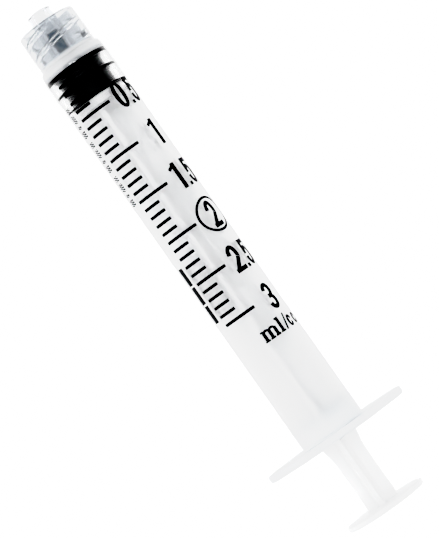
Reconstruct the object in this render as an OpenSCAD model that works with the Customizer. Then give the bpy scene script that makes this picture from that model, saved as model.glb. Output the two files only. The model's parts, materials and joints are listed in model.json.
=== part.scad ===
// Three-part 3 mL syringe with a Luer-lock tip, lying on a flat of its finger flange.
// Row frame: +X towards the tip, +Z up, origin on the table under the middle of the length.
// Inside the modules the syringe stands on its own axis. Local Z is the axial place, counted
// from the zero line and growing towards the thumb press, and local X looks up from the table.
// Angles round the barrel start at the top and grow towards -Y of the row frame.

/* [Barrel] */
// Bore of the barrel
bore_d = 9.08; // [8.4:0.02:11]
// Thickness of the barrel wall
barrel_wall = 0.9; // [0.7:0.05:1.2]
// Length from the zero line to the front face of the finger flange
zero_to_flange = 69.2; // [57:0.2:90]
// Thickness of the closed end of the barrel
floor_t = 1.5; // [1:0.1:2.5]
// How far the shoulder draws in at its front edge
shoulder_drop = 0.3; // [0.1:0.05:0.5]
// Fillet between the tube and the flange
flange_fillet = 0.4; // [0.2:0.1:0.8]

/* [Luer-lock tip] */
// Diameter of the male cone at its end
cone_end_d = 3.97; // [3.93:0.01:4.03]
// Taper of the male cone, change of diameter over length
cone_taper = 0.06; // [0.055:0.005:0.065]
// Length of the male cone from the shoulder
cone_l = 8.6; // [7.5:0.1:10]
// Distance the cone stands out past the collar
cone_proud = 2.1; // [2.1:0.1:3]
// Bore of the outer stretch of the tip
tip_bore_d = 1.7; // [1.4:0.1:1.7]
// Length of that outer stretch
tip_bore_l = 3.6; // [3:0.1:5]
// Bore of the inner stretch, which takes the gasket's nose
nose_bore_d = 2.1; // [2.1:0.1:2.4]
// Outside diameter of the locking collar
collar_d = 9.7; // [9.4:0.1:10]
// Inside diameter of the collar between the threads
collar_bore_d = 8.1; // [8:0.05:8.3]
// Inside diameter over the thread crests
thread_crest_d = 7.1; // [6.9:0.05:7.3]
// Lead of the two-start thread
thread_lead = 5; // [4.5:0.5:5.5]
// Turns that each start makes
thread_turns = 0.85; // [0.5:0.05:0.9]
// Width of a thread at its root
thread_root_w = 1.0; // [0.7:0.1:1.2]
// Width of a thread at its crest
thread_crest_w = 0.4; // [0.2:0.1:0.6]

/* [Finger flange] */
// Span across the two finger wings
flange_span = 24.8; // [22:0.2:30]
// Distance between the two resting flats
flange_depth = 14.0; // [14:0.2:20]
// Length of each resting flat
flange_flat_l = 11; // [8:0.5:12]
// Radius of the wing ends
wing_r = 3.8; // [3:0.1:5]
// Thickness of the flange
flange_t = 1.2; // [1:0.1:2]
// Radial height of the bead that stops the gasket
bead_h = 0.2; // [0.15:0.05:0.25]
// Width of that bead at its crest
bead_w = 0.4; // [0.3:0.1:0.8]
// Distance from the bead to the flange
bead_to_flange = 1.2; // [0.8:0.1:2]

/* [Gasket] */
// Radial gap between a sealing rib and the bore
rib_gap = 0.02; // [0.01:0.005:0.05]
// Width of the front rib, centred on the zero line
front_rib_w = 0.8; // [0.6:0.05:1.2]
// Place of the middle rib behind the zero line
mid_rib_at = 2.6; // [2.2:0.1:3]
// Width of the middle rib
mid_rib_w = 0.6; // [0.4:0.05:0.8]
// Width of the rear rib
rear_rib_w = 0.35; // [0.3:0.05:0.6]
// Place of the gasket's rear face behind the zero line
gasket_end_at = 5.65; // [5.4:0.05:8]
// Radial depth of the waists between the ribs
waist_depth = 0.44; // [0.3:0.02:0.6]
// Gap between the end of the nose and the step in the tip bore
nose_end_gap = 0.25; // [0.1:0.05:1]
// Radial gap round the nose
nose_gap = 0.12; // [0.08:0.02:0.2]
// Gap between the gasket and the closed end when fully pressed
seat_gap = 0.05; // [0.02:0.01:0.1]

/* [Plunger rod] */
// Radial gap between the rod's ribs and the bore
rod_rib_gap = 0.34; // [0.3:0.02:0.6]
// Width across opposite ribs behind the flange
rib_span_rear = 5.3; // [4.8:0.1:7.4]
// Thickness of the ribs
rib_t = 0.8; // [0.6:0.1:1.2]
// Diameter of the core where the ribs cross
core_d = 1.8; // [1.4:0.1:2.4]
// Length over which the ribs narrow
rib_taper_l = 8; // [4:0.5:12]
// Share of that length which lies inside the barrel mouth
rib_taper_inside = 5.3; // [2:0.1:6]
// Radial gap between the push disc and the bore
push_disc_gap = 0.44; // [0.3:0.02:0.6]
// Thickness of that disc
push_disc_t = 1.4; // [1:0.1:2]
// Diameter of the knob that snaps into the gasket
knob_d = 5.4; // [4.4:0.1:5.8]
// Length of the knob
knob_l = 2.3; // [2:0.1:2.8]
// Diameter of the neck behind the knob
neck_d = 3.8; // [3:0.1:4.2]
// Length of the neck inside the gasket's lip
neck_l = 1.6; // [1.2:0.1:2]
// Running gap round the knob and the neck
knob_gap = 0.05; // [0.02:0.01:0.1]
// Gap between the flange and the thumb press when fully pressed
thumb_clear = 12.3; // [8:0.1:16]
// Diameter of the thumb press
thumb_d = 13.9; // [11:0.1:13.9]
// Thickness of the thumb press
thumb_t = 0.9; // [0.8:0.1:1.6]
// Rounding of the thumb press rim
thumb_round = 0.3; // [0.1:0.05:0.35]

/* [Printed scale] */
// Thickness of the ink
ink_t = 0.02; // [0.01:0.005:0.05]
// Width of a printed line along the barrel
line_w = 0.5; // [0.3:0.05:0.7]
// Angle where every line starts
line_from = -49.5; // [-60:0.5:-40]
// Angle where a tenth line ends
minor_to = -15.2; // [-25:0.2:-10]
// Angle where a half and whole line ends
major_to = 12.4; // [5:0.2:20]
// Height of the numerals, as a share of the length of half a millilitre
numeral_share = 0.596; // [0.4:0.004:0.64]
// Width of a numeral, as a share of its height
numeral_slim = 0.456; // [0.36:0.004:0.48]
// Width of a numeral's stroke, as a share of its height
stroke_share = 0.126; // [0.08:0.002:0.15]
// Outside diameter of the ring round the 2, as a share of the numerals' height
ring_share = 1.348; // [1.32:0.004:1.4]
// Width of the ring's line, as a share of a numeral's stroke
ring_line_share = 0.72; // [0.5:0.02:0.9]
// Angle left free between the end of a long line and the ring
ring_clear = 6; // [2:0.5:10]

/* [Hidden] */
$fn = 96;

plastic = [0.90, 0.91, 0.92];
rubber = [0.06, 0.06, 0.07];
ink = [0.02, 0.02, 0.02];

// Overshoot of a cutting shape past the face that it cuts
cut = 0.5;
// Steps in a quarter of a rounded edge
round_steps = 6;

bore_r = bore_d / 2;
barrel_r = bore_r + barrel_wall;
floor_at = -front_rib_w / 2 - seat_gap;
shoulder_at = floor_at - floor_t;
// The rounded shoulder ends where the zero line starts
shoulder_l = -line_w / 2 - shoulder_at;
tip_at = shoulder_at - cone_l;
collar_at = tip_at + cone_proud;
cone_end_r = cone_end_d / 2;
cone_base_r = cone_end_r + cone_l * cone_taper / 2;
cone_round = 0.2;
collar_round = 0.25;
flange_end_at = zero_to_flange + flange_t;
bead_at = zero_to_flange - bead_to_flange;
bead_rise = 2 * bead_h;
mouth_chamfer = 0.3;

// Gasket
rib_r = bore_r - rib_gap;
waist_r = rib_r - waist_depth;
rib_flank = 0.2;
front_face_at = -front_rib_w / 2;
front_chamfer = 0.08;
nose_r = nose_bore_d / 2 - nose_gap;
nose_end_at = tip_at + tip_bore_l + nose_end_gap;
nose_round = 0.2;
nose_root_r = nose_r + 0.6;
nose_root_l = 0.6;
rear_rib_from = gasket_end_at - rear_rib_w - 0.05;
lip_from = gasket_end_at - neck_l;
pocket_from = lip_from - knob_l - 2 * knob_gap;
pocket_r = knob_d / 2 + knob_gap;
lip_r = neck_d / 2 + knob_gap;

// Plunger rod
rib_half = bore_r - rod_rib_gap;
push_disc_r = bore_r - push_disc_gap;
disc_from = gasket_end_at + knob_gap;
knob_from = pocket_from + knob_gap;
knob_to = lip_from - knob_gap;
knob_nose = 0.5;
ribs_from = disc_from + push_disc_t;
thumb_from = flange_end_at + thumb_clear;
thumb_to = thumb_from + thumb_t;
taper_from = flange_end_at - rib_taper_inside;
taper_to = taper_from + rib_taper_l;
thumb_r = thumb_d / 2;
// Angle of the ribs from upright when the scale faces up
rib_turn = 7.4;

// Printed scale, 3 mL in tenths
pi_deg = 180 / PI;
mm_per_ml = 1000 / (PI * bore_r * bore_r);
full_ml = 3;
tenths = full_ml * 10;
first_digit = 34.5;
point_place = 52.5;
last_digit = 68.5;
lone_digit = 52;
numeral_h = numeral_share * mm_per_ml / 2;
numeral_w = numeral_slim * numeral_h;
numeral_stroke = stroke_share * numeral_h;
ring_d = ring_share * numeral_h;
ring_w = ring_line_share * numeral_stroke;
ring_at = major_to + ring_clear + ring_d / 2 / barrel_r * pi_deg;
point_w = 1.03 * numeral_stroke;
// Unit mark behind the last line, in plain slab letters
unit_behind = 5.75;
unit_x_h = 1.85;
unit_l_h = 2.5;
unit_stem = 0.46;
unit_slab = 0.2;
unit_slab_out = 0.16;
// Plain dashes and a plain bar along the left of the scale
dash_run = [0.9, 1.5, 0.6, 1.2];
dash_gap = 0.45;
dash_from = 4.6;
dash_to = 27;
side_from = -74;
side_to = -59;
bar_from = 35;
bar_to = 45.2;
bar_parts = 3;
bar_gap = 0.3;

// Where the whole syringe lies in the row frame
axis_h = flange_depth / 2;
zero_x = (thumb_to + tip_at) / 2;

module in_row_frame() {
    translate([zero_x, 0, axis_h]) rotate([0, -90, 0]) children();
}

// Quarter-round edge about (r, z): points from angle a0 to a1
function quarter(r, z, rr, rz, a0, a1) =
    [for (i = [0 : round_steps]) let (a = a0 + (a1 - a0) * i / round_steps)
        [r + rr * cos(a), z + rz * sin(a)]];

// ---------- barrel ----------

// Two-start right-hand thread ridge, one start, sunk into the collar wall
module thread_start(turn) {
    steps = 30;
    sink = 0.2;
    root_r = collar_bore_d / 2 + sink;
    first_at = collar_at + thread_root_w / 2 + 0.3;
    // The ridge grows out of the wall at both ends of its run
    function crest(i) = root_r - (root_r - thread_crest_d / 2) * min(1, 0.15 + min(i, steps - i) / 3);
    function spot(r, i, dz) = let (a = turn + 360 * thread_turns * i / steps)
        [r * cos(a), r * sin(a), first_at + thread_lead * thread_turns * i / steps + dz];
    rings = [for (i = [0 : steps]) each [
        spot(root_r, i, -thread_root_w / 2), spot(crest(i), i, -thread_crest_w / 2),
        spot(crest(i), i, thread_crest_w / 2), spot(root_r, i, thread_root_w / 2)]];
    sides = [for (i = [0 : steps - 1], k = [0 : 3]) let (n = (k + 1) % 4, b = 4 * i)
        each [[b + 4 + n, b + n, b + k], [b + 4 + k, b + 4 + n, b + k]]];
    last = 4 * steps;
    polyhedron(rings, concat([[0, 1, 2, 3]], sides, [[last + 3, last + 2, last + 1, last]]));
}

module locking_collar() {
    outer_r = collar_d / 2;
    inner_r = collar_bore_d / 2;
    rotate_extrude() polygon(concat(
        [[inner_r, shoulder_at + cut], [inner_r, collar_at + collar_round],
         [inner_r + collar_round, collar_at]],
        quarter(outer_r - collar_round, collar_at + collar_round, collar_round, collar_round, -90, 0),
        [[outer_r, shoulder_at + cut]]));
    thread_start(0);
    thread_start(180);
}

module male_cone() {
    rotate_extrude() polygon(concat(
        [[0, tip_at]],
        quarter(cone_end_r - cone_round, tip_at + cone_round, cone_round, cone_round, -90, 0),
        [[cone_base_r, shoulder_at], [cone_base_r, floor_at], [0, floor_at]]));
}

module tube_outside() {
    fillet_z = zero_to_flange - flange_fillet;
    rotate_extrude() polygon(concat(
        [[0, shoulder_at]],
        [for (p = quarter(barrel_r - shoulder_drop, shoulder_at + shoulder_l,
            shoulder_drop, shoulder_l, -90, 0)) p],
        [[barrel_r, fillet_z], [barrel_r + flange_fillet, zero_to_flange],
         [barrel_r + flange_fillet, zero_to_flange + flange_t / 2],
         [0, zero_to_flange + flange_t / 2]]));
}

// Flat-sided flange: straight tapers run from the flats to the round wing ends
module flange_outline() {
    end_y = flange_span / 2 - wing_r;
    dy = end_y - flange_flat_l / 2;
    drop = axis_h;
    reach = sqrt(dy * dy + drop * drop);
    // Direction from a flat's corner to the tangent point on the wing's end
    lean = atan2(drop, dy) - asin(wing_r / reach);
    tx = wing_r * cos(lean);
    ty = end_y + wing_r * sin(lean);
    corner_y = flange_flat_l / 2;
    polygon([[axis_h, -corner_y], [axis_h, corner_y], [tx, ty], [-tx, ty],
        [-axis_h, corner_y], [-axis_h, -corner_y], [-tx, -ty], [tx, -ty]]);
    for (side = [-1, 1]) translate([0, side * end_y]) circle(r = wing_r);
}

module stop_bead() {
    rotate_extrude() polygon([
        [bore_r + cut / 2, bead_at - bead_w / 2 - bead_rise - cut],
        [bore_r, bead_at - bead_w / 2 - bead_rise],
        [bore_r - bead_h, bead_at - bead_w / 2],
        [bore_r - bead_h, bead_at + bead_w / 2],
        [bore_r, bead_at + bead_w / 2 + bead_rise],
        [bore_r + cut / 2, bead_at + bead_w / 2 + bead_rise + cut]]);
}

module barrel() {
    color(plastic) in_row_frame() {
        difference() {
            union() {
                tube_outside();
                male_cone();
                locking_collar();
                translate([0, 0, zero_to_flange]) linear_extrude(flange_t) flange_outline();
            }
            translate([0, 0, floor_at]) cylinder(r = bore_r, h = flange_end_at - floor_at + cut);
            translate([0, 0, flange_end_at - mouth_chamfer])
                cylinder(r1 = bore_r, r2 = bore_r + mouth_chamfer + cut, h = mouth_chamfer + cut);
            translate([0, 0, tip_at - cut]) cylinder(d = tip_bore_d, h = tip_bore_l + 2 * cut);
            translate([0, 0, tip_at + tip_bore_l])
                cylinder(d = nose_bore_d, h = floor_at - tip_at - tip_bore_l + cut);
            translate([0, 0, floor_at - nose_root_l]) cylinder(r1 = nose_bore_d / 2,
                r2 = nose_bore_d / 2 + nose_root_r - nose_r, h = nose_root_l + 0.001);
        }
        stop_bead();
    }
}

// ---------- gasket ----------

module gasket() {
    color(rubber) in_row_frame() rotate_extrude() polygon(concat(
        [[0, nose_end_at]],
        quarter(nose_r - nose_round, nose_end_at + nose_round, nose_round, nose_round, -90, 0),
        [[nose_r, front_face_at - nose_root_l + seat_gap],
         [nose_root_r - seat_gap, front_face_at],
         [rib_r - front_chamfer, front_face_at], [rib_r, front_face_at + front_chamfer],
         [rib_r, front_rib_w / 2], [waist_r, front_rib_w / 2 + rib_flank],
         [waist_r, mid_rib_at - mid_rib_w / 2 - rib_flank], [rib_r, mid_rib_at - mid_rib_w / 2],
         [rib_r, mid_rib_at + mid_rib_w / 2], [waist_r, mid_rib_at + mid_rib_w / 2 + rib_flank],
         [waist_r, rear_rib_from - rib_flank], [rib_r, rear_rib_from],
         [rib_r, rear_rib_from + rear_rib_w], [rib_r - 0.05, gasket_end_at],
         [lip_r, gasket_end_at], [lip_r, lip_from], [pocket_r, lip_from],
         [pocket_r, pocket_from], [0, pocket_from]]));
}

// ---------- plunger rod ----------

// One rib plane, seen flat: wide inside the barrel, narrow behind the flange
module rib_plane() {
    half_rear = rib_span_rear / 2;
    rotate([90, 0, 0]) linear_extrude(rib_t, center = true) polygon([
        [-rib_half, ribs_from - cut], [rib_half, ribs_from - cut], [rib_half, taper_from],
        [half_rear, taper_to], [half_rear, thumb_from + thumb_t / 2],
        [-half_rear, thumb_from + thumb_t / 2], [-half_rear, taper_to], [-rib_half, taper_from]]);
}

module thumb_press() {
    rotate_extrude() polygon(concat(
        [[0, thumb_from]],
        quarter(thumb_r - thumb_round, thumb_from + thumb_round, thumb_round, thumb_round, -90, 0),
        quarter(thumb_r - thumb_round, thumb_to - thumb_round, thumb_round, thumb_round, 0, 90),
        [[0, thumb_to]]));
}

module plunger_rod() {
    color(plastic) in_row_frame() {
        translate([0, 0, disc_from]) cylinder(r = push_disc_r, h = push_disc_t);
        translate([0, 0, knob_to - cut]) cylinder(d = neck_d, h = disc_from - knob_to + 2 * cut);
        translate([0, 0, knob_from + knob_nose])
            cylinder(d = knob_d, h = knob_to - knob_from - knob_nose);
        translate([0, 0, knob_from])
            cylinder(r1 = knob_d / 2 - knob_nose, r2 = knob_d / 2, h = knob_nose);
        for (turn = [rib_turn, rib_turn + 90]) rotate([0, 0, turn]) rib_plane();
        translate([0, 0, disc_from + cut]) cylinder(d = core_d, h = thumb_from - disc_from);
        thumb_press();
    }
}

// ---------- printed scale ----------

// A printed line that runs round the barrel at one axial place
module line_round(at, w, from, to) {
    translate([0, 0, at - w / 2]) rotate([0, 0, -to]) rotate_extrude(angle = to - from)
        translate([barrel_r, 0]) square([ink_t, w]);
}

// Skin of ink round the barrel, cut to the flat shape that is pressed through it
module print_at(at, angle, h) {
    intersection() {
        translate([0, 0, at - h / 2]) difference() {
            cylinder(r = barrel_r + ink_t, h = h);
            translate([0, 0, -cut]) cylinder(r = barrel_r, h = h + 2 * cut);
        }
        translate([0, 0, at]) rotate([0, 0, -angle]) rotate([-90, 0, 0]) rotate([0, 90, 0])
            linear_extrude(barrel_r + cut) children();
    }
}

// Lays a flat outline along the curve of the barrel: its width becomes an arc length
function wrapped(points) = [for (p = points) [barrel_r * sin(p.x / barrel_r * pi_deg), p.y]];

// Outline of a stroke that follows an elliptical arc, centre c, radii r
function arc_stroke(c, r, w, from, to) = let (n = ceil(abs(to - from) / 18))
    concat(
        [for (i = [0 : n]) let (a = from + (to - from) * i / n)
            [c.x + (r.x + w / 2) * cos(a), c.y + (r.y + w / 2) * sin(a)]],
        [for (i = [n : -1 : 0]) let (a = from + (to - from) * i / n)
            [c.x + (r.x - w / 2) * cos(a), c.y + (r.y - w / 2) * sin(a)]]);

// Outline of a straight stroke from p to q
function line_stroke(p, q, w) = let (d = q - p, n = [-d.y, d.x] / norm(d) * w / 2)
    [p - n, q - n, q + n, p + n];

module bar(low, high) {
    polygon(wrapped([low, [high.x, low.y], high, [low.x, high.y]]));
}

module digit(value) {
    hw = numeral_w / 2;
    hh = numeral_h / 2;
    s = numeral_stroke;
    rx = hw - s / 2;
    nick = 0.05 * numeral_w;
    if (value == 0) difference() {
        polygon(wrapped([for (a = [0 : 15 : 345]) [hw * cos(a), hh * sin(a)]]));
        polygon(wrapped([for (a = [0 : 15 : 345]) [(hw - s) * cos(a), (hh - s) * sin(a)]]));
    }
    if (value == 1) {
        right = nick + 1.1 * s;
        flag = -0.67 * hw;
        polygon(wrapped([[nick, -hh], [right, -hh], [right, hh], [nick, hh],
            [flag, 0.7 * hh], [flag, 0.48 * hh], [nick, 0.52 * hh]]));
    }
    if (value == 2) {
        ry = 0.29 * numeral_h;
        cy = hh - s / 2 - ry;
        polygon(wrapped(arc_stroke([0, cy], [rx, ry], s, -32, 172)));
        polygon(wrapped(line_stroke([rx * cos(32) + 0.05 * s, cy - ry * sin(32) + 0.3 * s],
            [-hw + s * 0.55, -hh + s * 0.6], s)));
        bar([-hw, -hh], [hw, -hh + s]);
    }
    if (value == 3) {
        ry = (hh - s / 2) / 2;
        polygon(wrapped(arc_stroke([0, ry], [rx, ry], s, -90, 165)));
        polygon(wrapped(arc_stroke([0, -ry], [rx, ry], s, -165, 90)));
        bar([-rx * 0.55, -s / 2], [nick, s / 2]);
    }
    if (value == 5) {
        ry = 0.3 * numeral_h;
        bar([-hw + nick, hh - s], [hw - nick, hh]);
        bar([-hw + nick, -s / 3], [-hw + nick + s, hh - s / 2]);
        polygon(wrapped(arc_stroke([0, -hh + s / 2 + ry], [rx, ry], s, -165, 140)));
    }
}

module printed_digit(value, at, angle) {
    print_at(at, angle, numeral_h + cut) digit(value);
}

// A first digit, a decimal point and a 5
module printed_half(value, at) {
    printed_digit(value, at, first_digit);
    print_at(at, point_place, numeral_h + cut)
        bar([-point_w / 2, -numeral_h / 2], [point_w / 2, -numeral_h / 2 + point_w]);
    printed_digit(5, at, last_digit);
}

module scale_lines(which, to) {
    color(ink) in_row_frame() for (i = which)
        line_round(i / 10 * mm_per_ml, line_w, line_from, to);
}

module tenth_lines() {
    scale_lines([for (i = [1 : tenths]) if (i % 5 != 0) i], minor_to);
}

module half_lines() {
    scale_lines([for (i = [5 : 5 : tenths]) i], major_to);
}

module zero_line() {
    scale_lines([0], major_to);
}

module numeral_0_5() {
    color(ink) in_row_frame() printed_half(0, 0.5 * mm_per_ml);
}

module numeral_1() {
    color(ink) in_row_frame() printed_digit(1, mm_per_ml, lone_digit);
}

module numeral_1_5() {
    color(ink) in_row_frame() printed_half(1, 1.5 * mm_per_ml);
}

module numeral_2() {
    color(ink) in_row_frame() printed_digit(2, 2 * mm_per_ml, ring_at);
}

module ring_round_2() {
    outer = ring_d / 2;
    inner = outer - ring_w;
    color(ink) in_row_frame() print_at(2 * mm_per_ml, ring_at, ring_d + cut) difference() {
        polygon(wrapped([for (a = [0 : 10 : 350]) outer * [cos(a), sin(a)]]));
        polygon(wrapped([for (a = [0 : 10 : 350]) inner * [cos(a), sin(a)]]));
    }
}

module numeral_2_5() {
    color(ink) in_row_frame() printed_half(2, 2.5 * mm_per_ml);
}

module numeral_3() {
    color(ink) in_row_frame() printed_digit(3, full_ml * mm_per_ml, lone_digit - 3);
}

module slab_stem(x, h) {
    bar([x - unit_stem / 2, 0], [x + unit_stem / 2, h]);
    bar([x - unit_stem / 2 - unit_slab_out, 0], [x + unit_stem / 2 + unit_slab_out, unit_slab]);
}

module letter_m() {
    pitch = 1.0;
    for (i = [-1 : 1]) slab_stem(i * pitch, unit_x_h - 0.25);
    for (i = [0, 1]) polygon(wrapped(arc_stroke([(i - 0.5) * pitch, unit_x_h - 0.6],
        [pitch / 2, 0.45], 0.3, 0, 180)));
    bar([-pitch - unit_stem / 2 - unit_slab_out, unit_x_h - unit_slab], [0.1 - pitch, unit_x_h]);
}

module letter_l() {
    slab_stem(0, unit_l_h);
    bar([-unit_stem / 2 - unit_slab_out, unit_l_h - unit_slab], [0, unit_l_h]);
}

module letter_c() {
    polygon(wrapped(arc_stroke([0, unit_x_h / 2], [0.48, unit_x_h / 2 - 0.15], 0.34, 48, 312)));
}

module unit_mark() {
    at = full_ml * mm_per_ml + unit_behind;
    h = 2 * unit_l_h + cut;
    color(ink) in_row_frame() {
        print_at(at, 9, h) letter_m();
        print_at(at, 30.7, h) letter_l();
        print_at(at, 43.5, h) polygon(wrapped(line_stroke([-0.35, 0], [0.35, unit_l_h], 0.2)));
        print_at(at, 56, h) letter_c();
        print_at(at, 72.5, h) letter_c();
    }
}

module side_dashes() {
    run = dash_run[0] + dash_run[1] + dash_run[2] + dash_run[3] + 5 * dash_gap;
    starts = [0, dash_run[0] + dash_gap, dash_run[0] + dash_run[1] + 2 * dash_gap,
        dash_run[0] + dash_run[1] + dash_run[2] + 3 * dash_gap];
    color(ink) in_row_frame()
        for (k = [0 : floor((dash_to - dash_from) / run) - 1], j = [0 : 3])
            line_round(dash_from + k * run + starts[j] + dash_run[j] / 2, dash_run[j],
                side_from, side_to);
}

module side_bar() {
    part = (bar_to - bar_from - (bar_parts - 1) * bar_gap) / bar_parts;
    color(ink) in_row_frame() for (i = [0 : bar_parts - 1])
        line_round(bar_from + i * (part + bar_gap) + part / 2, part, side_from, side_to);
}

barrel();
gasket();
plunger_rod();
tenth_lines();
half_lines();
zero_line();
numeral_0_5();
numeral_1();
numeral_1_5();
numeral_2();
ring_round_2();
numeral_2_5();
numeral_3();
unit_mark();
side_dashes();
side_bar();
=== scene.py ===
# %% [markdown]
# # A 3 mL locking-tip syringe
# The real object is three mouldings and some ink. A milky tube with finger wings carries a printed
# scale, a black rubber gasket seals inside it, and a cross-ribbed rod pushes the gasket. The exact
# engineering model of these pieces is opened first, and stays in place as a frame. Each piece is
# then made again with the fine roundings that a see-through plastic shows, exactly where the frame
# has it.
# %% Open the frame
import json
import math

import bpy
import numpy as np
from mathutils import Matrix, Vector


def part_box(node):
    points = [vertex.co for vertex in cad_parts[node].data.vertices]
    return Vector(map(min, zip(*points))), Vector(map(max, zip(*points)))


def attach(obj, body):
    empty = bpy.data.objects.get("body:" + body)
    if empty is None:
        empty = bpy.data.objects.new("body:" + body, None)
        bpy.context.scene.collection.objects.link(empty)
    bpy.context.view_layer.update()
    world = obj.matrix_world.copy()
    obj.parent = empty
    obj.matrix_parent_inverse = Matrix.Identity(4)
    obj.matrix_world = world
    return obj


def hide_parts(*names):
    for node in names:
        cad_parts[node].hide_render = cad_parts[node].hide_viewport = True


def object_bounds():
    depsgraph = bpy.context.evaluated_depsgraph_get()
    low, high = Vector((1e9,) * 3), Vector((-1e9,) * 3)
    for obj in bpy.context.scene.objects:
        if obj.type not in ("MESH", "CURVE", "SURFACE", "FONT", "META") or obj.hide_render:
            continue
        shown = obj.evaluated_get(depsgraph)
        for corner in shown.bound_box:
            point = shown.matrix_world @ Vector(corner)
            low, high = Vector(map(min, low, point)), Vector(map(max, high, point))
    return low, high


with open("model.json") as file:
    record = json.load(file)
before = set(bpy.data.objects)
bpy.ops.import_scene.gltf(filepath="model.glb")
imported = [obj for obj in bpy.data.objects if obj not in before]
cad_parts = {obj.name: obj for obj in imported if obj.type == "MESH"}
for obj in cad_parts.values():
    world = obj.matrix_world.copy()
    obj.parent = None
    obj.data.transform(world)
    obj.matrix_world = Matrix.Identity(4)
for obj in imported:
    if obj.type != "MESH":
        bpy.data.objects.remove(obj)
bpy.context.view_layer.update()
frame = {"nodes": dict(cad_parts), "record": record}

# %% [markdown]
# ## Measure the frame
# A maker reads the drawing before cutting. Everything on a syringe is counted along its axis, so
# the zero line of the scale is the start of the ruler, and a place behind it, towards the thumb,
# is positive. All the profiles below are in millimetres, as on a drawing, and one function turns a
# place, a radius and a turn round the axis into a point of the frame, in metres.
# %% Read the main sizes
MM = 0.001
RUNNING_GAP = 0.02
mounts = {m["name"]: m for m in frame["record"]["mounts"]}
axis_z = mounts["barrel_grip"]["pos_m"][2]
tube_r = mounts["barrel_grip"]["dims"]["r_mm"]
zero_low, zero_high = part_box("zero_line")
zero_x = (zero_low.x + zero_high.x) / 2


def behind(x):
    """Millimetres from the zero line to a place along the frame's X."""
    return (zero_x - x) / MM


barrel_low, barrel_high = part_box("barrel")
gasket_low, gasket_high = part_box("gasket")
rod_low, rod_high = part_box("plunger_rod")
tip_end = behind(barrel_high.x)
wings_rear = behind(barrel_low.x)
bore_r = (gasket_high.z - gasket_low.z) / 2 / MM + RUNNING_GAP
gasket_rear = behind(gasket_low.x)
knob_front = behind(rod_high.x)
thumb_rear = behind(rod_low.x)
thumb_r = (rod_high.y - rod_low.y) / 2 / MM
print("tip", round(tip_end, 2), "wings", round(wings_rear, 2), "bore radius", round(bore_r, 3))
print("thumb press", round(thumb_rear, 2), "radius", round(thumb_r, 3))


# %% Turn drawing places into points
def points(place, radius, turn):
    """Points of the frame for places behind the zero line, radii and turns, all in arrays.
    A turn starts at the top and grows towards -Y."""
    x = zero_x - place * MM
    return np.stack([x, -radius * MM * np.sin(turn), axis_z + radius * MM * np.cos(turn)], -1)


tube_top = points(np.zeros(1), np.full(1, tube_r), np.zeros(1))[0]
print("top of the tube at the zero line", tube_top.round(5))

# %% [markdown]
# ## A lathe that can also cut wings and threads
# Moulded tubes are turned shapes, and Blender has a Screw modifier for those. It can't do the
# finger wings, the thread or the ribs of the rod, which change round the axis, and joining such
# shapes afterwards leaves seams that clear plastic shows at once. So this lathe lets a radius be a
# whole ring of radii. One skin then runs over the tube, the wings and the thread without a seam.
# Corners are eased first, because no moulding has a perfectly sharp edge, and a sharp edge would
# catch no light.
# %% Ease the corners of a profile
def eased(corners, steps=5):
    """A profile whose corners are rounded. A corner is (numbers..., set-back of its rounding)."""
    spots = [np.array(c[:-1], float) for c in corners]
    out = []
    for i, here in enumerate(spots):
        ease = corners[i][-1]
        if ease == 0 or i in (0, len(spots) - 1):
            out.append(here)
            continue
        back, ahead = spots[i - 1] - here, spots[i + 1] - here
        start = here + back * min(ease / np.linalg.norm(back), 0.5)
        end = here + ahead * min(ease / np.linalg.norm(ahead), 0.5)
        for t in np.linspace(0, 1, steps + 1):
            out.append((1 - t) ** 2 * start + 2 * t * (1 - t) * here + t * t * end)
    return out


print("a square corner becomes", len(eased([(0, 1, 0), (0, 0, 0.2), (1, 0, 0)])) - 2, "points")


# %% Skin a stack of rings
def turns(count):
    """Evenly spaced turns round the axis."""
    return np.arange(count) * 2 * math.pi / count


def mesh_piece(name, co, faces, body, sharp=28):
    """A mesh object from points and faces, with creases where its faces meet at a clear angle."""
    mesh = bpy.data.meshes.new(name)
    mesh.from_pydata([tuple(p) for p in co], [], faces)
    mesh.update()
    mesh.polygons.foreach_set("use_smooth", [True] * len(mesh.polygons))
    mesh.set_sharp_from_angle(angle=math.radians(sharp))
    piece = bpy.data.objects.new(name, mesh)
    bpy.context.scene.collection.objects.link(piece)
    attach(piece, body)
    print(name, len(mesh.polygons), "faces")
    return piece


def skin(name, rows, turn, body, loop):
    """A skin over rings of (place, radius), each a number or one for every turn. With loop the last
    ring joins the first, as on a tube. Without it both ends close on the axis."""
    n, k = len(turn), len(rows)
    place = np.stack([np.broadcast_to(np.asarray(p, float), (n,)) for p, _ in rows])
    radius = np.stack([np.broadcast_to(np.asarray(r, float), (n,)) for _, r in rows])
    co = points(place, radius, turn[None, :]).reshape(-1, 3)
    faces = []
    for i in range(k if loop else k - 1):
        a, b = i * n, (i + 1) % k * n
        faces += [(a + j, a + (j + 1) % n, b + (j + 1) % n, b + j) for j in range(n)]
    if not loop:
        ends = points(np.array([place[0].mean(), place[-1].mean()]), np.zeros(2), np.zeros(2))
        first, last = k * n, k * n + 1
        co = np.concatenate([co, ends])
        faces += [(first, (j + 1) % n, j) for j in range(n)]
        faces += [(last, (k - 1) * n + j, (k - 1) * n + (j + 1) % n) for j in range(n)]
    corner = [np.array([f[c] for f in faces]) for c in range(3)]
    fan = np.array([f[3] if len(f) == 4 else f[0] for f in faces])
    p = [co[c] for c in corner] + [co[fan]]
    volume = (p[0] * np.cross(p[1], p[2])).sum() + (p[0] * np.cross(p[2], p[3])).sum()
    if volume < 0:
        faces = [f[::-1] for f in faces]
    return mesh_piece(name, co, faces, body)


ROUND = turns(256)
print("a turned skin has", len(ROUND), "points round the axis")

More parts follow.
